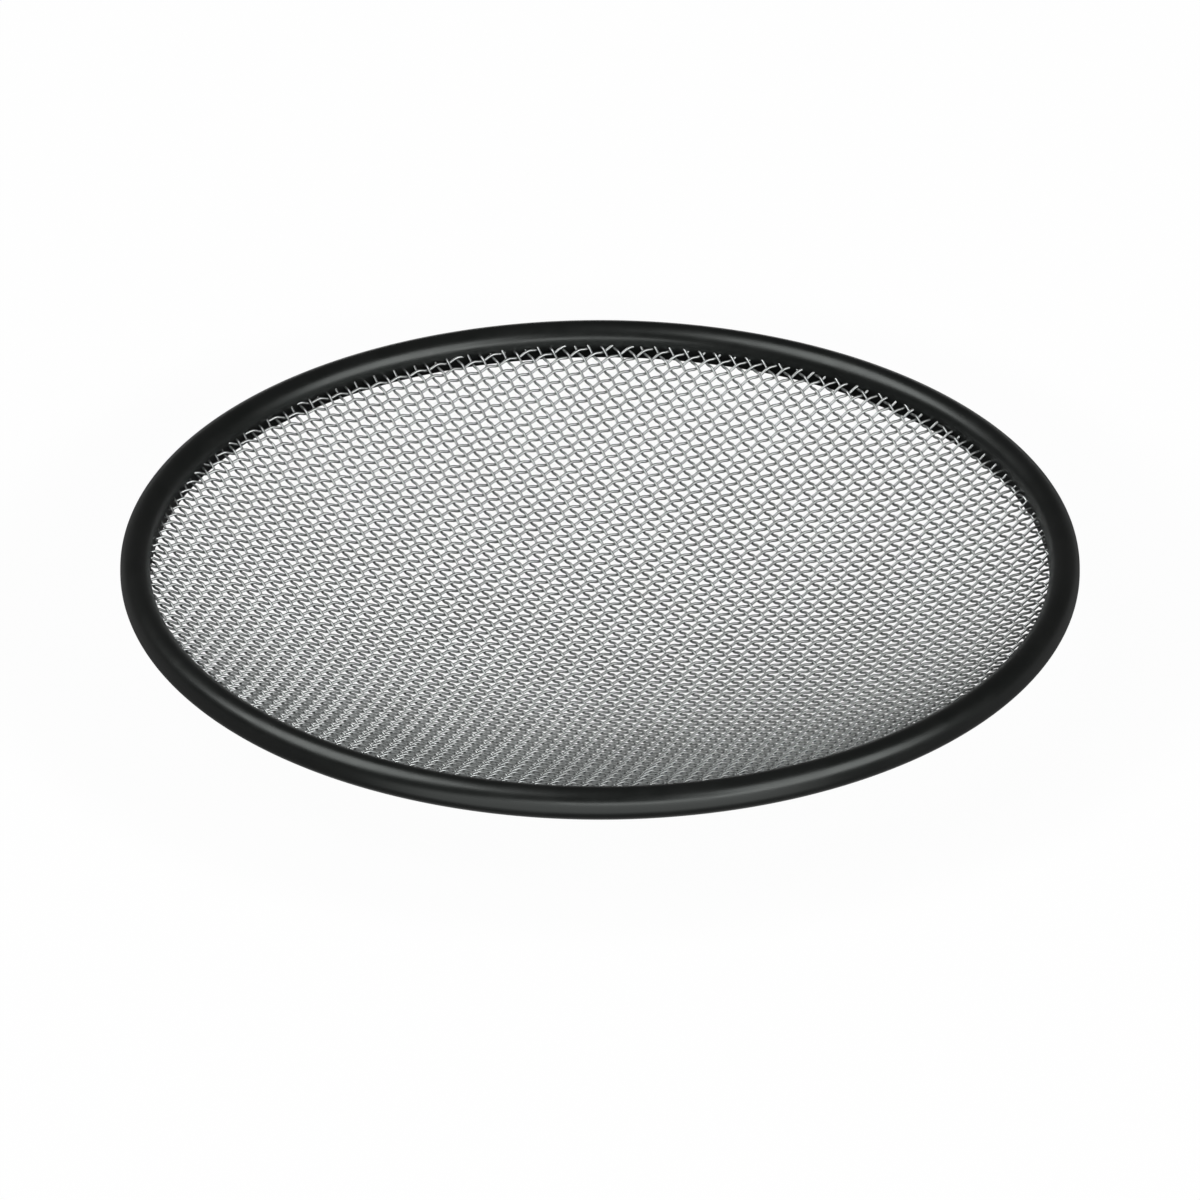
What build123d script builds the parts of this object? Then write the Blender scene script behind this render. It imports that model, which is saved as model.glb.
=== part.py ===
"""Oil pump strainer screen: a shallow dish of woven wire cloth with a moulded rubber rim.

Millimetres, +Z up. The hollow of the dish faces up. The origin is under the centre of the dish, on the
surface that the dish rests on.
"""
import os
from math import ceil, cos, hypot, radians, sin

from build123d import *

# Rubber rim
rim_diameter = 84.6       # outside of the rim
rim_width = 2.66          # radial width of its section
rim_land = 0.36           # height of the straight band round the outside
heel_lift = 0.12          # rise of the underside from the middle of the section to the inner heel
chords_per_quarter = 4    # a quarter of the section's round is this many chords, all within 0.03 mm of it

# Dish of the cloth
dish_sag = 7.09           # depth of the cloth's middle surface, from the rim's inner wall to the centre
entry_drop = 0.29         # the cloth enters the rim this far below the rim's middle
grip_depth = 1.30         # length of cloth that the rubber holds

# Cloth: flat strands that stand for bundles of wires, woven one over and one under
strand_pitch = 6.80       # spacing of the strands, the same both ways
strand_width = 1.60       # width of a strand
strand_thickness = 0.24   # thickness of a strand
strand_bite = 0.02        # depth that crossing strands press into each other
crown_length = 2.40       # straight length of a strand where it passes over or under another
cloth_turn = 30.0         # turn of the weave about the vertical axis, in degrees

# Worked out from the sizes above
rim_radius = rim_diameter / 2
wall_radius = rim_radius - rim_width
round_radius = rim_width / 2
middle_radius = rim_radius - round_radius
grip_radius = wall_radius + grip_depth
dish_curvature = 2 * dish_sag / wall_radius ** 2
crimp_height = (strand_thickness - strand_bite) / 2
middle_height = crimp_height + strand_thickness / 2
rim_middle_height = middle_height + dish_sag + entry_drop
strands_each_side = int((wall_radius + strand_width / 2) / strand_pitch)
crossings_each_side = ceil(grip_radius / strand_pitch)


def crimped_line(row, over_at_centre, lift):
    """Points on a strand's face in its own upright plane: straight at each crossing, sloping between."""
    across = row * strand_pitch
    points = []
    for column in range(-crossings_each_side, crossings_each_side + 1):
        along = column * strand_pitch
        goes_over = ((column + row) % 2 == 0) == over_at_centre
        crown = middle_height + dish_curvature * (along ** 2 + across ** 2) / 2
        crown += crimp_height if goes_over else -crimp_height
        for end in (-crown_length / 2, crown_length / 2):
            points.append((along + end, crown + dish_curvature * along * end + lift))
    return points


def strand(row, over_at_centre):
    """Strand along X: a crimped strip that leans across its width as the dish does there."""
    upper = crimped_line(row, over_at_centre, strand_thickness / 2)
    lower = crimped_line(row, over_at_centre, -strand_thickness / 2)
    across = row * strand_pitch
    lean = dish_curvature * across
    edge = Plane(
        origin=(0, across - strand_width / 2, -lean * strand_width / 2),
        x_dir=(1, 0, 0),
        z_dir=(0, -1, 0),
    )
    outline = edge * make_face(Polyline(*upper, *reversed(lower), close=True))
    return extrude(outline, amount=strand_width * hypot(1, lean), dir=(0, 1, lean))


def wire_cloth():
    """Strands both ways, woven into one cloth and cut round where the rubber holds it."""
    places = range(-strands_each_side, strands_each_side + 1)
    rows = [strand(place, over_at_centre=True) for place in places]
    columns = [Rot(0, 0, 90) * strand(place, over_at_centre=False) for place in places]
    blank = Pos(0, 0, rim_middle_height) * Cylinder(grip_radius, 4 * rim_middle_height)
    cloth = rows[0].fuse(*rows[1:], *columns)
    return Rot(0, 0, cloth_turn) * (cloth & blank)


def round_points(centre_height, start, stop):
    """Points on the section's round, from one angle to another in degrees, a chord apart."""
    chords = round(abs(stop - start) / 90 * chords_per_quarter)
    angles = [radians(start + (stop - start) * step / chords) for step in range(chords + 1)]
    return [
        (middle_radius + round_radius * cos(angle), centre_height + round_radius * sin(angle))
        for angle in angles
    ]


def rim_ring():
    """Rim before it takes the cloth: round top and outside, upright inner wall, nearly square heel."""
    land_top = rim_middle_height + rim_land / 2
    land_bottom = rim_middle_height - rim_land / 2
    heel = (wall_radius, land_bottom - round_radius + heel_lift)
    outline = round_points(land_top, 180, 0) + round_points(land_bottom, 0, -90) + [heel]
    return revolve(Plane.XZ * make_face(Polyline(*outline, close=True)), Axis.Z)


os.makedirs("parts", exist_ok=True)
wire_screen = wire_cloth()
rim_bead = rim_ring() - wire_screen
export_step(wire_screen, "parts/wire_screen.step")
export_step(rim_bead, "parts/rim_bead.step")
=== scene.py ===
"""Looks of the oil pump strainer screen: woven wire cloth in a moulded rubber rim.

Metres, +Z up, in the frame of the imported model. The dish rests on z = 0 at the origin, and its hollow
faces up. The camera looks along +Y, so that -Y is the front.
"""
from math import ceil, cos, pi, radians, sin, tan

import bpy
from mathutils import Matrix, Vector


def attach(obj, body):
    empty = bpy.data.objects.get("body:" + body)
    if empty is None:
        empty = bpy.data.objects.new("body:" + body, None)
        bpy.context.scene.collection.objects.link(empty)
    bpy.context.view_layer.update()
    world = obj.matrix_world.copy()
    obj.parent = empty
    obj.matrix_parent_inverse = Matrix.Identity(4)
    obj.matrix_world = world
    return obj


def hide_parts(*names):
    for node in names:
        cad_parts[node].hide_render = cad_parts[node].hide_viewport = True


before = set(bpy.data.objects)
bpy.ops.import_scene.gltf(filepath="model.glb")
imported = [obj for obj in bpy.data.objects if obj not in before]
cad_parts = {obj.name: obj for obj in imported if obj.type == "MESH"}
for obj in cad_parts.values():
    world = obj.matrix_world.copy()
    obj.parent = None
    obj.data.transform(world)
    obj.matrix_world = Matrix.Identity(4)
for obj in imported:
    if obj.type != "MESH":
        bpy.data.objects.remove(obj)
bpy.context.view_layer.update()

MM = 0.001

# Rubber rim, with the sizes of the CAD solid, whose rounds are chords of these
RIM_RADIUS = 42.3 * MM
WALL_RADIUS = 39.64 * MM               # its upright inner wall
ROUND_RADIUS = (RIM_RADIUS - WALL_RADIUS) / 2
RIM_MIDDLE_HEIGHT = 7.61 * MM
RIM_LAND = 0.36 * MM                   # height of the straight band round the outside
HEEL_LIFT = 0.12 * MM                  # rise of the underside from its lowest line to the inner heel
HEEL_ROUND = 0.16 * MM                 # radius of the heel's edge
HEEL_END = 268                         # angle at which that radius ends, in degrees
HEEL_STEPS = 6
ROUND_STEPS = 32                       # in a half round of the section
RIM_STEPS = 384                        # round the rim

# Wire cloth
WIRE_PITCH = 1.0 * MM
WIRE_RADIUS = 0.122 * MM
WIRE_CRIMP = 0.126 * MM                # a wire's middle rises and falls this much at the crossings
CLOTH_HEIGHT = 0.249 * MM              # middle of the cloth, at the centre of the dish
CLOTH_REACH = 40.3 * MM                # the wires end here, inside the rubber
DISH_SAG = 7.09 * MM
DISH_CURVATURE = 2 * DISH_SAG / WALL_RADIUS ** 2
CLOTH_TURN = radians(30)
ROW_SHIFT = 0.8344                     # a row's and a column's place beside the centre, in pitches
COLUMN_SHIFT = -0.0973
STEPS_PER_PITCH = 6
WIRE_SIDES = 6
BAND_CUTS = (0.36, 0.64)               # shares of the wires at which one band ends and the next begins

# Map of the wires' skin
RINGS_PER_STRIP = 240
STRIP_GAP = 0.12                       # share of a strip's height that is left free
CUT_END_LENGTH = 0.6                   # half a cut end, in rings and as a share of a strip's height
CUT_END_HEIGHT = 0.3

# Noise values that become 0 and 1 in the shared grain and patches
GRAIN_SPREAD = (0.28, 0.72)
PATCH_SPREAD = (0.35, 0.65)

# Moulded rubber: the mould's grain, uneven flow and a thin film. All colours here are linear.
RUBBER_COLOUR = (0.0026, 0.0031, 0.0028, 1)
RUBBER_FILM_COLOUR = (0.0038, 0.0042, 0.0039, 1)
RUBBER_GRAIN_COLOUR = (0.0050, 0.0055, 0.0052, 1)
RUBBER_GLOSS_TINT = (0.945, 1.0, 0.972, 1.0)
RUBBER_GRAIN_SHARE = 0.5
RUBBER_GRAIN_SIZE = 0.11 * MM
RUBBER_GRAIN_DEPTH = 0.0012 * MM
RUBBER_FLOW_SIZE = 1.4 * MM
RUBBER_FILM_SIZE = 5 * MM
RUBBER_ROUGHNESS = (0.29, 0.34)        # bare, and under the film
RUBBER_FLOW_ROUGHNESS = (0.0, 0.04)
RUBBER_GRAIN_ROUGHNESS = (-0.02, 0.02)

# Drawn steel: lines from the die, a tone that changes along the wire, a film, rubbed crests, and dirt with
# painted shade where the wires cross
STEEL_COLOURS = ((0.382, 0.398, 0.394, 1), (0.502, 0.523, 0.518, 1))
STEEL_FILM_COLOUR = (0.322, 0.332, 0.326, 1)
STEEL_RUBBED_COLOUR = (0.55, 0.57, 0.565, 1)
STEEL_DIRT_AND_SHADE_COLOUR = (0.054, 0.056, 0.053, 1)
STEEL_FILM_SHARE = 0.45
STEEL_RUBBED_SHARE = 0.5
STEEL_FILM_SIZE = 7 * MM
STEEL_LINE_SIZE = 0.03 * MM
STEEL_LINE_STRETCH = 50.0
STEEL_LINE_DEPTH = 0.0005 * MM
STEEL_TONE_SIZE = 0.9 * MM
STEEL_TONE_STRETCH = 16.0
STEEL_SPECK_SIZE = 0.08 * MM
STEEL_RUBBED_FROM = (0.5, 0.95)        # 1 is a wire's outer side at a crossing, -1 its inner side
# dirt and painted shade: a wire's inner side at a crossing, where it touches the other wire, is darkened
STEEL_DIRT_AND_SHADE_FROM = (-0.25, -0.8)
STEEL_DIRT_AND_SHADE_AMOUNT = (0.55, 1.0)        # thinnest and thickest dirt
STEEL_ROUGHNESS = (0.27, 0.35)
STEEL_FILM_ROUGHNESS = (0.0, 0.05)
STEEL_RUBBED_SMOOTHER = 0.04
STEEL_DIRT_ROUGHER = 0.3
STEEL_METALLIC = (1.0, 0.4)            # clean, and under dirt

# Floor, with a painted shadow: a darker patch of its colour under the part
FLOOR_REACH = 3.0
FLOOR_COLOUR = (0.80, 0.80, 0.80, 1)
# painted shadow: the darker floor colour under the part
FLOOR_PAINTED_SHADOW_COLOUR = (0.42, 0.42, 0.42, 1)
FLOOR_GRAIN_COLOUR = (0.7, 0.7, 0.7, 1)
FLOOR_GRAIN_SHARE = 0.04
FLOOR_GRAIN_SIZE = 0.6 * MM
FLOOR_ROUGHNESS = (0.85, 0.95)
FLOOR_WHITE = 0.97                     # share of plain white in the floor that the camera sees
FLOOR_PAINTED_SHADOW_MIDDLE = 5 * MM            # behind the part's centre
FLOOR_PAINTED_SHADOW_EDGE = (52 * MM, 60 * MM)

# Light, as radiance where 1 is white, with angles in degrees
ROOM_LIGHT = 0.075                     # above the horizon, in gloss
AMBIENT_LIGHT = 0.15                   # all round, for matt surfaces
HORIZON_TOP = 4.0
LAMP_DISTANCE = 1.2

# What gloss sees of the floor and the horizon. On the floor these are painted light and shade that only
# reflections show.
MIRRORED_SIDE = 0.2
MIRRORED_BACK = 1.1
MIRRORED_FRONT = 1.6
# painted shade in reflections under the rim, and under the cloth painted light at the front fading to
# painted shade at the back
MIRRORED_SHADE = 0.15                  # under the rim
MIRRORED_UNDER_CLOTH = (0.5, 0.04)     # at the front, and at the back
BACK_REACH = (8, 22)                   # degrees from straight behind, where the bright part fades
FRONT_REACH = (22, 40)                 # degrees from straight ahead
UNDER_CLOTH_SPAN = (-30 * MM, 25 * MM)
UNDER_RIM_SPAN = (38 * MM, 43 * MM)

# Photograph's view
CAMERA_ELEVATION = radians(30.1)
FRAME_WIDTH = 105.785 * MM
RIM_ABOVE_MIDDLE = 2.657 * MM          # the rim's centre, above the frame's middle
CAMERA_DISTANCE = 0.6
CAMERA_RANGE = (0.01, 10)


# Objects and node trees

def add_object(name, data):
    """An object with the given mesh, lamp or camera, in the scene."""
    added = bpy.data.objects.new(name, data)
    bpy.context.collection.objects.link(added)
    return added


def add_node(tree, kind, inputs=None, **settings):
    """A node with its settings. Its inputs, by number or name, are values or other nodes' sockets."""
    node = tree.nodes.new(kind)
    for name, value in settings.items():
        setattr(node, name, value)
    for key, value in (inputs or {}).items():
        if isinstance(value, bpy.types.NodeSocket):
            tree.links.new(value, node.inputs[key])
        else:
            node.inputs[key].default_value = value
    return node


def output_of(tree, kind, inputs=None, **settings):
    """The first output of a new node."""
    return add_node(tree, kind, inputs, **settings).outputs[0]


def math(tree, operation, *values):
    """The result of a Math node."""
    return output_of(tree, "ShaderNodeMath", dict(enumerate(values)), operation=operation)


def vector_math(tree, operation, *values):
    """The result of a Vector Math node, which is a number where it is a length."""
    node = add_node(tree, "ShaderNodeVectorMath", dict(enumerate(values)), operation=operation)
    return node.outputs["Value" if operation == "LENGTH" else "Vector"]


def vector(tree, **parts):
    """A vector from those of X, Y and Z that aren't 0."""
    return output_of(tree, "ShaderNodeCombineXYZ", parts)


def split(tree, whole):
    """The X, Y and Z of a vector."""
    return add_node(tree, "ShaderNodeSeparateXYZ", {0: whole}).outputs


def add_socket(tree, name, kind, value=None, output=False):
    """A named input or output of a node group."""
    way = "OUTPUT" if output else "INPUT"
    socket = tree.interface.new_socket(name, in_out=way, socket_type="NodeSocket" + kind)
    if value is not None:
        socket.default_value = value
    return socket


# Wire cloth

def straight_wires(tree, sizes):
    """Straight wires of one direction, side by side, a few points to each pitch."""
    pitch = sizes["Wire pitch"]
    crossings = math(tree, "CEIL", math(tree, "DIVIDE", sizes["Cloth reach"], pitch))
    crossings = math(tree, "ADD", crossings, 1.0)
    start = math(tree, "MULTIPLY", math(tree, "SUBTRACT", sizes["Shift along"], crossings), pitch)
    end = math(tree, "MULTIPLY", math(tree, "ADD", sizes["Shift along"], crossings), pitch)
    steps = math(tree, "MULTIPLY", math(tree, "MULTIPLY", crossings, 2.0), sizes["Steps per pitch"])
    line = output_of(tree, "GeometryNodeCurvePrimitiveLine", {
        "Start": vector(tree, X=start),
        "End": vector(tree, X=end),
    })
    wire = output_of(tree, "GeometryNodeResampleCurve", {
        "Curve": line,
        "Count": math(tree, "ADD", steps, 1.0),
    })
    first = math(tree, "MULTIPLY", math(tree, "ADD", sizes["First wire"], sizes["Shift across"]), pitch)
    places = output_of(tree, "GeometryNodeMeshLine", {
        "Count": sizes["Wire count"],
        "Start Location": vector(tree, Y=first),
        "Offset": vector(tree, Y=pitch),
    })
    wires = output_of(tree, "GeometryNodeInstanceOnPoints", {"Points": places, "Instance": wire})
    return output_of(tree, "GeometryNodeRealizeInstances", {"Geometry": wires})


def wave_at(tree, place, pitch, shift):
    """A wave that is 1 at every second crossing and -1 at those between."""
    turns = math(tree, "SUBTRACT", math(tree, "DIVIDE", place, pitch), shift)
    return math(tree, "COSINE", math(tree, "MULTIPLY", turns, pi))


def store(tree, geometry, name, kind, value):
    """The geometry with a named value on each of its points."""
    inputs = {"Geometry": geometry, "Name": name, "Value": value}
    return output_of(tree, "GeometryNodeStoreNamedAttribute", inputs, data_type=kind, domain="POINT")


def woven_wires(tree, sizes, wires):
    """Straight wires sunk into the dish, crimped over and under the others, and cut round."""
    flat = split(tree, output_of(tree, "GeometryNodeInputPosition"))
    along, across = flat["X"], flat["Y"]
    along_squared = math(tree, "MULTIPLY", along, along)
    squared = math(tree, "ADD", along_squared, math(tree, "MULTIPLY", across, across))
    dish = math(tree, "MULTIPLY", squared, math(tree, "MULTIPLY", sizes["Dish curvature"], 0.5))
    over_under = math(
        tree, "MULTIPLY",
        wave_at(tree, along, sizes["Wire pitch"], sizes["Shift along"]),
        wave_at(tree, across, sizes["Wire pitch"], sizes["Shift across"]),
    )
    lift = math(tree, "MULTIPLY", over_under, sizes["Side"])
    crimped = math(tree, "ADD", dish, math(tree, "MULTIPLY", sizes["Wire crimp"], lift))
    height = math(tree, "ADD", crimped, sizes["Dish height"])
    wires = store(tree, wires, "wire_place", "FLOAT_VECTOR", vector(tree, X=along, Y=across, Z=height))
    wires = store(tree, wires, "wire_lift", "FLOAT", lift)
    dished = output_of(tree, "GeometryNodeSetPosition", {
        "Geometry": wires,
        "Offset": vector(tree, Z=height),
    })
    beyond = math(tree, "GREATER_THAN", math(tree, "SQRT", squared), sizes["Cloth reach"])
    cut = {"Geometry": dished, "Selection": beyond}
    return output_of(tree, "GeometryNodeDeleteGeometry", cut, domain="POINT")


def place_on_wire(tree):
    """A place on the wire as if it were straight: along it, across the cloth, and up from its middle."""
    named = {"Name": "wire_place"}
    stored = output_of(tree, "GeometryNodeInputNamedAttribute", named, data_type="FLOAT_VECTOR")
    middle = split(tree, stored)
    surface = split(tree, output_of(tree, "GeometryNodeInputPosition"))
    up = math(tree, "SUBTRACT", surface["Z"], middle["Z"])
    return vector(tree, X=middle["X"], Y=surface["Y"], Z=up)


def round_wires(tree, sizes, wires):
    """Smooth round wires with closed ends, each point with its place on the wire."""
    upright = output_of(tree, "GeometryNodeSetCurveNormal", {"Curve": wires}, mode="Z_UP")
    section = output_of(tree, "GeometryNodeCurvePrimitiveCircle", {
        "Resolution": sizes["Wire sides"],
        "Radius": sizes["Wire radius"],
    })
    solid = output_of(tree, "GeometryNodeCurveToMesh", {
        "Curve": upright,
        "Profile Curve": section,
        "Fill Caps": True,
    })
    placed = store(tree, solid, "wire_place", "FLOAT_VECTOR", place_on_wire(tree))
    return output_of(tree, "GeometryNodeSetShadeSmooth", {"Geometry": placed})


def weaving_tree():
    """Node tree that makes one direction's wires of a dished plain weave, with the sizes as its inputs."""
    tree = bpy.data.node_groups.new("woven_wires", "GeometryNodeTree")
    identifiers = {}
    for name, kind in (
        ("Wire pitch", "Float"), ("Wire radius", "Float"), ("Wire crimp", "Float"), ("Wire sides", "Int"),
        ("Steps per pitch", "Int"), ("First wire", "Int"), ("Wire count", "Int"), ("Side", "Float"),
        ("Shift along", "Float"), ("Shift across", "Float"), ("Turn", "Float"), ("Dish height", "Float"),
        ("Dish curvature", "Float"), ("Cloth reach", "Float"), ("Wire", "Material"),
    ):
        identifiers[name] = add_socket(tree, name, kind).identifier
    add_socket(tree, "Cloth", "Geometry", output=True)
    sizes = tree.nodes.new("NodeGroupInput").outputs

    wires = woven_wires(tree, sizes, straight_wires(tree, sizes))
    turned = output_of(tree, "GeometryNodeTransform", {
        "Geometry": round_wires(tree, sizes, wires),
        "Rotation": vector(tree, Z=sizes["Turn"]),
    })
    real = output_of(tree, "GeometryNodeRealizeInstances", {"Geometry": turned})
    finished = {"Geometry": real, "Material": sizes["Wire"]}
    result = tree.nodes.new("NodeGroupOutput")
    tree.links.new(output_of(tree, "GeometryNodeSetMaterial", finished), result.inputs[0])
    return tree, identifiers


def make_wires(name, tree, identifiers, band):
    """A band of wires as a plain mesh piece."""
    sizes = {
        "Wire pitch": WIRE_PITCH, "Wire radius": WIRE_RADIUS, "Wire crimp": WIRE_CRIMP,
        "Wire sides": WIRE_SIDES, "Steps per pitch": STEPS_PER_PITCH, "Dish height": CLOTH_HEIGHT,
        "Dish curvature": DISH_CURVATURE, "Cloth reach": CLOTH_REACH, **band,
    }
    maker = add_object(name + "_maker", bpy.data.meshes.new(name + "_maker"))
    weaving = maker.modifiers.new("weave", "NODES")
    weaving.node_group = tree
    for size, value in sizes.items():
        weaving[identifiers[size]] = value
    woven = maker.evaluated_get(bpy.context.evaluated_depsgraph_get())
    mesh = bpy.data.meshes.new_from_object(woven)
    maker.modifiers.remove(weaving)
    bpy.data.objects.remove(maker)
    mesh.name = name
    return add_object(name, mesh)


def wall_spots(face):
    """The strip that a face of a wire's wall lies on, and its corners there, in rings and sides."""
    ring = min(face.vertices) // WIRE_SIDES
    strip, step = divmod(ring, RINGS_PER_STRIP)
    sides = [corner % WIRE_SIDES for corner in face.vertices]
    over_seam = max(sides) - min(sides) > 1
    spots = [
        (step + (corner // WIRE_SIDES > ring), WIRE_SIDES if over_seam and side == 0 else side)
        for corner, side in zip(face.vertices, sides)
    ]
    return strip, spots


def cut_end_spots(face, number):
    """Corners of a wire's cut end on its strip, in rings and sides."""
    middle = 2 * number % RINGS_PER_STRIP + 1
    turns = [2 * pi * (corner % WIRE_SIDES) / WIRE_SIDES for corner in face.vertices]
    return [
        (middle + CUT_END_LENGTH * cos(turn), WIRE_SIDES * (0.5 + CUT_END_HEIGHT * sin(turn)))
        for turn in turns
    ]


def lay_out_skin(piece):
    """A map for the wires' skin: each stretch of wire unrolled to a strip, and the strips side by side.

    The cut ends, hidden in the rubber, share the last strip.
    """
    mesh = piece.data
    rings = len(mesh.vertices) // WIRE_SIDES
    strips = ceil(rings / RINGS_PER_STRIP) + 1
    layer = mesh.uv_layers.new(name="OFBake", do_init=False)
    places = [0.0] * (2 * len(mesh.loops))
    ends = 0
    for face in mesh.polygons:
        if face.loop_total == 4:
            strip, spots = wall_spots(face)
        else:
            strip, spots = strips - 1, cut_end_spots(face, ends)
            ends += 1
        for at, (along, around) in enumerate(spots, face.loop_start):
            places[2 * at] = along / (RINGS_PER_STRIP + 1)
            places[2 * at + 1] = (strip + around / WIRE_SIDES * (1 - STRIP_GAP) + STRIP_GAP / 2) / strips
    layer.uv.foreach_set("vector", places)


def weave_cloth(wire):
    """All the wires, in bands small enough for one mesh each."""
    tree, identifiers = weaving_tree()
    pieces = []
    for kind, side, turn, along, across in (
        ("row", 1.0, CLOTH_TURN, COLUMN_SHIFT, ROW_SHIFT),
        ("column", -1.0, CLOTH_TURN + pi / 2, ROW_SHIFT, -COLUMN_SHIFT),
    ):
        first = ceil(-WALL_RADIUS / WIRE_PITCH - across)
        last = int(WALL_RADIUS / WIRE_PITCH - across)
        count = last - first + 1
        edges = [first, *(first + round(count * cut) for cut in BAND_CUTS), last + 1]
        for number, (start, stop) in enumerate(zip(edges, edges[1:]), 1):
            band = {
                "First wire": start, "Wire count": stop - start, "Side": side, "Turn": turn,
                "Shift along": along, "Shift across": across, "Wire": wire,
            }
            piece = make_wires(f"wire_{kind}s_{number}", tree, identifiers, band)
            lay_out_skin(piece)
            pieces.append(piece)
    return pieces


# Rubber rim

def arc(centre, radius, start, stop, steps):
    """Points on an arc in the section's plane, angles in degrees."""
    angles = [radians(start + (stop - start) * step / steps) for step in range(steps + 1)]
    return [(centre[0] + radius * cos(angle), centre[1] + radius * sin(angle)) for angle in angles]


def rim_section():
    """Outline of the rim's section, anticlockwise as (radius, height): heel, outside, top, inner wall."""
    middle = RIM_RADIUS - ROUND_RADIUS
    land_top = RIM_MIDDLE_HEIGHT + RIM_LAND / 2
    land_bottom = RIM_MIDDLE_HEIGHT - RIM_LAND / 2
    heel = land_bottom - ROUND_RADIUS + HEEL_LIFT
    heel_centre = (WALL_RADIUS + HEEL_ROUND, heel + HEEL_ROUND)
    outline = arc(heel_centre, HEEL_ROUND, 180, HEEL_END, HEEL_STEPS)
    outline += arc((middle, land_bottom), ROUND_RADIUS, -90, 0, ROUND_STEPS // 2)
    outline += arc((middle, land_top), ROUND_RADIUS, 0, 180, ROUND_STEPS)
    return outline


def turned_ring(name, outline):
    """A smooth ring with the given section, turned about the vertical axis."""
    points, faces = [], []
    count = len(outline)
    for step in range(RIM_STEPS):
        angle = 2 * pi * step / RIM_STEPS
        points += [(radius * cos(angle), radius * sin(angle), height) for radius, height in outline]
        here, beyond = step * count, (step + 1) % RIM_STEPS * count
        for at in range(count):
            ahead = (at + 1) % count
            faces.append((here + at, beyond + at, beyond + ahead, here + ahead))
    mesh = bpy.data.meshes.new(name)
    mesh.from_pydata(points, [], faces)
    mesh.polygons.foreach_set("use_smooth", [True] * len(faces))
    mesh.update()
    return add_object(name, mesh)


# Materials

def new_material(name):
    """A material with its own tree and the Principled shader in it."""
    material = bpy.data.materials.new(name)
    material.use_nodes = True
    return material, material.node_tree, material.node_tree.nodes["Principled BSDF"]


def object_place(tree):
    """A place in the object's own coordinates."""
    return add_node(tree, "ShaderNodeTexCoord").outputs["Object"]


def between(tree, value, low, high, start=0.0, end=1.0, smooth=False):
    """A value scaled so that start gives low and end gives high, and held to that range."""
    inputs = {"Value": value, "From Min": start, "From Max": end, "To Min": low, "To Max": high}
    kind = "SMOOTHSTEP" if smooth else "LINEAR"
    return output_of(tree, "ShaderNodeMapRange", inputs, interpolation_type=kind)


def mask(tree, value, start, end):
    """A soft mask that is 0 at the start and 1 at the end."""
    return between(tree, value, 0.0, 1.0, start, end, smooth=True)


def mix(tree, amount, first, second):
    """The first number where the amount is 0 and the second where it is 1."""
    return output_of(tree, "ShaderNodeMix", {"Factor": amount, "A": first, "B": second})


def mix_colours(tree, amount, first, second):
    """The first colour where the amount is 0 and the second where it is 1."""
    inputs = {0: amount, 6: first, 7: second}
    return add_node(tree, "ShaderNodeMix", inputs, data_type="RGBA").outputs[2]


def laid_over(tree, colour, amount, share, upper):
    """A colour with another over it, as much as the share where the amount is 1."""
    return mix_colours(tree, math(tree, "MULTIPLY", amount, share), colour, upper)


def bump(tree, height, depth):
    """A normal that shows a height from 0 to 1 as relief of a given depth."""
    return output_of(tree, "ShaderNodeBump", {"Height": height, "Distance": depth, "Strength": 1.0})


def noise_group(name, spread, smooth, **noise):
    """Shader node group: a mask of noise of a given size, drawn out along X by a given factor."""
    tree = bpy.data.node_groups.new(name, "ShaderNodeTree")
    add_socket(tree, "Place", "Vector")
    add_socket(tree, "Size", "Float", 1.0 * MM)
    add_socket(tree, "Drawn out", "Float", 1.0)
    add_socket(tree, "Mask", "Float", output=True)
    given = tree.nodes.new("NodeGroupInput").outputs
    length = math(tree, "MULTIPLY", given["Size"], given["Drawn out"])
    size = vector(tree, X=length, Y=given["Size"], Z=given["Size"])
    scaled = vector_math(tree, "DIVIDE", given["Place"], size)
    value = output_of(tree, "ShaderNodeTexNoise", {"Vector": scaled, "Scale": 1.0, **noise})
    result = tree.nodes.new("NodeGroupOutput")
    tree.links.new(between(tree, value, 0.0, 1.0, *spread, smooth=smooth), result.inputs["Mask"])


def surroundings_group():
    """Shader node group: how bright gloss sees the surroundings each way, brightest ahead and behind."""
    tree = bpy.data.node_groups.new("mirrored_surroundings", "ShaderNodeTree")
    add_socket(tree, "Place", "Vector")
    add_socket(tree, "Level", "Float", output=True)
    place = tree.nodes.new("NodeGroupInput").outputs["Place"]
    way = vector_math(tree, "NORMALIZE", vector_math(tree, "MULTIPLY", place, (1, 1, 0)))
    backward = split(tree, way)["Y"]
    near, far = (cos(radians(angle)) for angle in BACK_REACH)
    behind = between(tree, backward, 0.0, MIRRORED_BACK - MIRRORED_SIDE, far, near, smooth=True)
    near, far = (-cos(radians(angle)) for angle in FRONT_REACH)
    before = between(tree, backward, 0.0, MIRRORED_FRONT - MIRRORED_SIDE, far, near, smooth=True)
    level = math(tree, "ADD", math(tree, "ADD", behind, before), MIRRORED_SIDE)
    result = tree.nodes.new("NodeGroupOutput")
    tree.links.new(level, result.inputs["Level"])


def from_group(tree, name, inputs):
    """The output of a shader node group, placed in a tree with its inputs."""
    return output_of(tree, "ShaderNodeGroup", inputs, node_tree=bpy.data.node_groups[name])


def grain(tree, place, size, drawn_out=1.0):
    """Fine grain at a place on the surface, from 0 to 1."""
    return from_group(tree, "fine_grain", {"Place": place, "Size": size, "Drawn out": drawn_out})


def patches(tree, place, size):
    """Soft uneven patches at a place on the surface, from 0 to 1, such as a thin film leaves."""
    return from_group(tree, "soft_patches", {"Place": place, "Size": size})


def surroundings(tree, place):
    """Brightness in gloss of the surroundings at a place on the floor or a way in the sky."""
    return from_group(tree, "mirrored_surroundings", {"Place": place})


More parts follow.
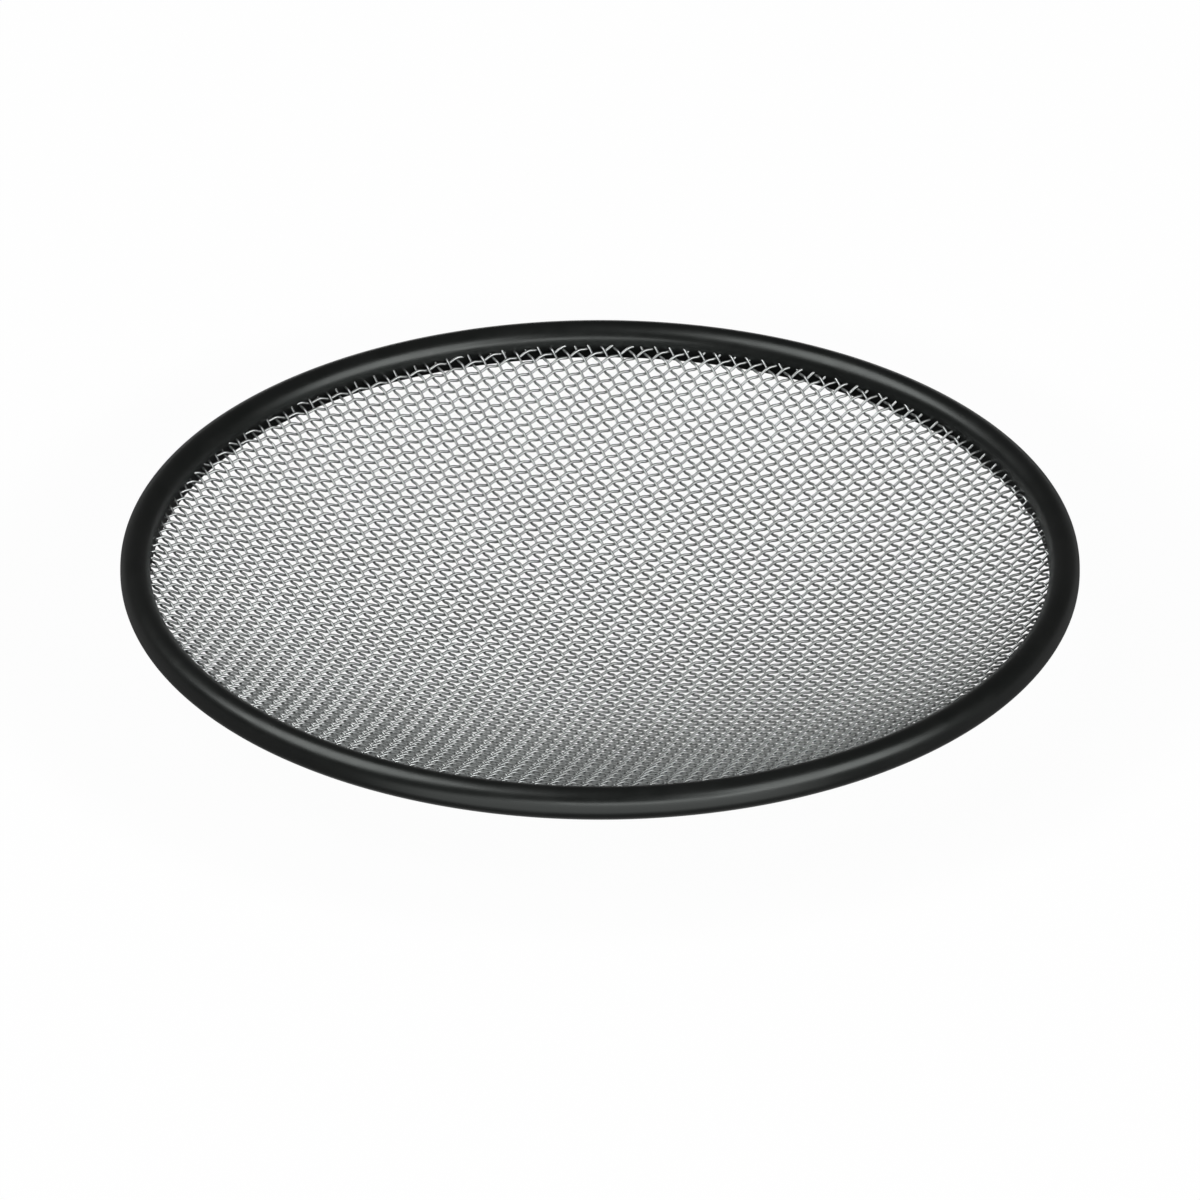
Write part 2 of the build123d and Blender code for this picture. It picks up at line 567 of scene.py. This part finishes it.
def black_rubber():
    """Moulded black rubber: a satin skin with the mould's grain, duller where a film lies on it."""
    material, tree, shader = new_material("moulded_rubber")
    place = object_place(tree)
    skin = grain(tree, place, RUBBER_GRAIN_SIZE)
    film = patches(tree, place, RUBBER_FILM_SIZE)
    flow = grain(tree, place, RUBBER_FLOW_SIZE)
    colour = mix_colours(tree, film, RUBBER_COLOUR, RUBBER_FILM_COLOUR)
    colour = laid_over(tree, colour, skin, RUBBER_GRAIN_SHARE, RUBBER_GRAIN_COLOUR)
    roughness = between(tree, film, *RUBBER_ROUGHNESS)
    roughness = math(tree, "ADD", roughness, between(tree, flow, *RUBBER_FLOW_ROUGHNESS))
    roughness = math(tree, "ADD", roughness, between(tree, skin, *RUBBER_GRAIN_ROUGHNESS))
    tree.links.new(colour, shader.inputs["Base Color"])
    tree.links.new(roughness, shader.inputs["Roughness"])
    tree.links.new(bump(tree, skin, RUBBER_GRAIN_DEPTH), shader.inputs["Normal"])
    shader.inputs["Specular Tint"].default_value = RUBBER_GLOSS_TINT
    return material


def drawn_steel():
    """Drawn steel wire: fine lines along it, brightest on its crests, with dirt and painted shade where
    wires cross.
    """
    material, tree, shader = new_material("drawn_steel")
    place = add_node(tree, "ShaderNodeAttribute", attribute_name="wire_place").outputs["Vector"]
    lift = add_node(tree, "ShaderNodeAttribute", attribute_name="wire_lift").outputs["Fac"]
    up = split(tree, place)["Z"]
    outward = math(tree, "MULTIPLY", lift, math(tree, "DIVIDE", up, WIRE_RADIUS))
    film = patches(tree, object_place(tree), STEEL_FILM_SIZE)
    lines = grain(tree, place, STEEL_LINE_SIZE, STEEL_LINE_STRETCH)
    speck = grain(tree, place, STEEL_SPECK_SIZE)
    tone = grain(tree, place, STEEL_TONE_SIZE, STEEL_TONE_STRETCH)

    rubbed = mask(tree, outward, *STEEL_RUBBED_FROM)
    # dirt and painted shade on the wire's inner side at crossings
    dirt_and_shade = mask(tree, outward, *STEEL_DIRT_AND_SHADE_FROM)
    dirt_and_shade = math(tree, "MULTIPLY", dirt_and_shade, between(tree, speck, *STEEL_DIRT_AND_SHADE_AMOUNT))
    colour = mix_colours(tree, tone, *STEEL_COLOURS)
    colour = laid_over(tree, colour, film, STEEL_FILM_SHARE, STEEL_FILM_COLOUR)
    colour = laid_over(tree, colour, rubbed, STEEL_RUBBED_SHARE, STEEL_RUBBED_COLOUR)
    colour = mix_colours(tree, dirt_and_shade, colour, STEEL_DIRT_AND_SHADE_COLOUR)
    roughness = between(tree, lines, *STEEL_ROUGHNESS)
    roughness = math(tree, "ADD", roughness, between(tree, film, *STEEL_FILM_ROUGHNESS))
    roughness = math(tree, "SUBTRACT", roughness, math(tree, "MULTIPLY", rubbed, STEEL_RUBBED_SMOOTHER))
    roughness = math(tree, "ADD", roughness, math(tree, "MULTIPLY", dirt_and_shade, STEEL_DIRT_ROUGHER))
    tree.links.new(colour, shader.inputs["Base Color"])
    tree.links.new(roughness, shader.inputs["Roughness"])
    tree.links.new(between(tree, dirt_and_shade, *STEEL_METALLIC), shader.inputs["Metallic"])
    tree.links.new(bump(tree, lines, STEEL_LINE_DEPTH), shader.inputs["Normal"])
    return material


# Studio

def in_gloss(tree, path):
    """1 for rays that gloss or glass sends out, and 0 for others."""
    return math(tree, "MAXIMUM", path["Is Glossy Ray"], path["Is Transmission Ray"])


def mirrored_floor(tree, place, outside):
    """How bright gloss sees the floor, as painted light and shade that only reflections show: as the
    surroundings outside the painted shadow, and dim under the part.
    """
    under_cloth = between(
        tree, split(tree, place)["Y"], *MIRRORED_UNDER_CLOTH, *UNDER_CLOTH_SPAN, smooth=True,
    )
    under_rim = mask(tree, vector_math(tree, "LENGTH", place), *UNDER_RIM_SPAN)
    shaded = mix(tree, under_rim, under_cloth, MIRRORED_SHADE)
    return mix(tree, outside, shaded, surroundings(tree, place))


def floor_paint():
    """Pale paint that is white to the camera but for the part's soft shadow and the painted shadow under
    it, and clear from below.
    """
    material, tree, shader = new_material("pale_floor")
    place = object_place(tree)
    # painted shadow: the paint is darker within the edge, round a middle a little behind the part
    centred = {"Vector": place, "Location": (0, -FLOOR_PAINTED_SHADOW_MIDDLE, 0)}
    away = vector_math(tree, "LENGTH", output_of(tree, "ShaderNodeMapping", centred))
    outside = mask(tree, away, *FLOOR_PAINTED_SHADOW_EDGE)
    speck = grain(tree, place, FLOOR_GRAIN_SIZE)
    colour = mix_colours(tree, outside, FLOOR_PAINTED_SHADOW_COLOUR, FLOOR_COLOUR)
    colour = laid_over(tree, colour, speck, FLOOR_GRAIN_SHARE, FLOOR_GRAIN_COLOUR)
    tree.links.new(colour, shader.inputs["Base Color"])
    tree.links.new(between(tree, speck, *FLOOR_ROUGHNESS), shader.inputs["Roughness"])

    path = add_node(tree, "ShaderNodeLightPath").outputs
    mirrored = in_gloss(tree, path)
    # painted light and shade on the floor, for gloss rays only
    level = mix(tree, mirrored, 1.0, mirrored_floor(tree, place, outside))
    glow = output_of(tree, "ShaderNodeEmission", {"Color": level, "Strength": 1.0})
    direct = math(tree, "MULTIPLY", path["Is Camera Ray"], FLOOR_WHITE)
    share = math(tree, "MAXIMUM", direct, mirrored)
    above = output_of(tree, "ShaderNodeMixShader", {0: share, 1: shader.outputs[0], 2: glow})
    below = add_node(tree, "ShaderNodeNewGeometry").outputs["Backfacing"]
    clear = output_of(tree, "ShaderNodeBsdfTransparent")
    seen = output_of(tree, "ShaderNodeMixShader", {0: below, 1: above, 2: clear})
    tree.links.new(seen, tree.nodes["Material Output"].inputs["Surface"])
    return material


def pale_floor():
    """A wide floor, with a painted shadow that makes it darker under the part."""
    corners = [(x * FLOOR_REACH, y * FLOOR_REACH, 0) for x, y in ((-1, -1), (1, -1), (1, 1), (-1, 1))]
    mesh = bpy.data.meshes.new("floor")
    mesh.from_pydata(corners, [], [(0, 1, 2, 3)])
    mesh.materials.append(floor_paint())
    floor = add_object("floor", mesh)


def studio_world():
    """A dim room above a horizon that gloss sees as the floor beyond the part. The camera sees white."""
    world = bpy.data.worlds.new("studio")
    bpy.context.scene.world = world
    world.use_nodes = True
    tree = world.node_tree
    ray = add_node(tree, "ShaderNodeTexCoord").outputs["Generated"]
    rise = split(tree, ray)["Z"]
    fade = sin(radians(HORIZON_TOP)), sin(radians(HORIZON_TOP / 2))
    room = between(tree, rise, ROOM_LIGHT, surroundings(tree, ray), *fade, smooth=True)
    path = add_node(tree, "ShaderNodeLightPath").outputs
    level = mix(tree, in_gloss(tree, path), AMBIENT_LIGHT, room)
    level = math(tree, "MAXIMUM", level, path["Is Camera Ray"])
    tree.links.new(level, tree.nodes["Background"].inputs["Color"])


def softbox(name, azimuth, elevation, half_width, half_height, brightness):
    """A soft lamp that faces the object, its place and half sizes in degrees as the object sees them.

    Azimuth 0 is towards the camera and 90 to its right. The brightness is the lamp's radiance.
    """
    lamp = bpy.data.lights.new(name, "AREA")
    lamp.shape = "RECTANGLE"
    lamp.size = 2 * LAMP_DISTANCE * tan(radians(half_width))
    lamp.size_y = 2 * LAMP_DISTANCE * tan(radians(half_height))
    lamp.energy = brightness * lamp.size * lamp.size_y * pi
    holder = add_object(name, lamp)
    across, up = radians(azimuth), radians(elevation)
    away = Vector((sin(across) * cos(up), -cos(across) * cos(up), sin(up)))
    holder.location = away * LAMP_DISTANCE
    holder.rotation_euler = away.to_track_quat("Z", "Y").to_euler()


def camera_at_photo():
    """The photograph's view: parallel rays from the front, looking down."""
    camera = bpy.data.cameras.new("camera")
    camera.type = "ORTHO"
    camera.ortho_scale = FRAME_WIDTH
    camera.clip_start, camera.clip_end = CAMERA_RANGE
    holder = add_object("camera", camera)
    back = Vector((0, -cos(CAMERA_ELEVATION), sin(CAMERA_ELEVATION)))
    up = Vector((0, sin(CAMERA_ELEVATION), cos(CAMERA_ELEVATION)))
    aim = Vector((0, 0, RIM_MIDDLE_HEIGHT)) - up * RIM_ABOVE_MIDDLE
    holder.location = aim + back * CAMERA_DISTANCE
    holder.rotation_euler = back.to_track_quat("Z", "Y").to_euler()
    bpy.context.scene.camera = holder


# The part and its studio

noise_group("fine_grain", GRAIN_SPREAD, smooth=False, Detail=2.0, Roughness=0.6)
noise_group("soft_patches", PATCH_SPREAD, smooth=True, Detail=4.0, Roughness=0.55, Distortion=0.8)
surroundings_group()
rim = turned_ring("rubber_rim", rim_section())
rim.data.materials.append(black_rubber())
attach(rim, "root")
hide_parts("rim_bead")

for wires in weave_cloth(drawn_steel()):
    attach(wires, "root")
    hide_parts("wire_screen")

bpy.context.scene.view_settings.view_transform = "Standard"
camera_at_photo()
pale_floor()
studio_world()
softbox("left_softbox", azimuth=-84, elevation=52.5, half_width=22, half_height=20, brightness=4.3)
softbox("right_softbox", azimuth=54, elevation=25, half_width=21.5, half_height=21, brightness=4.15)
softbox("front_strip", azimuth=14, elevation=8, half_width=30, half_height=7, brightness=4.2)
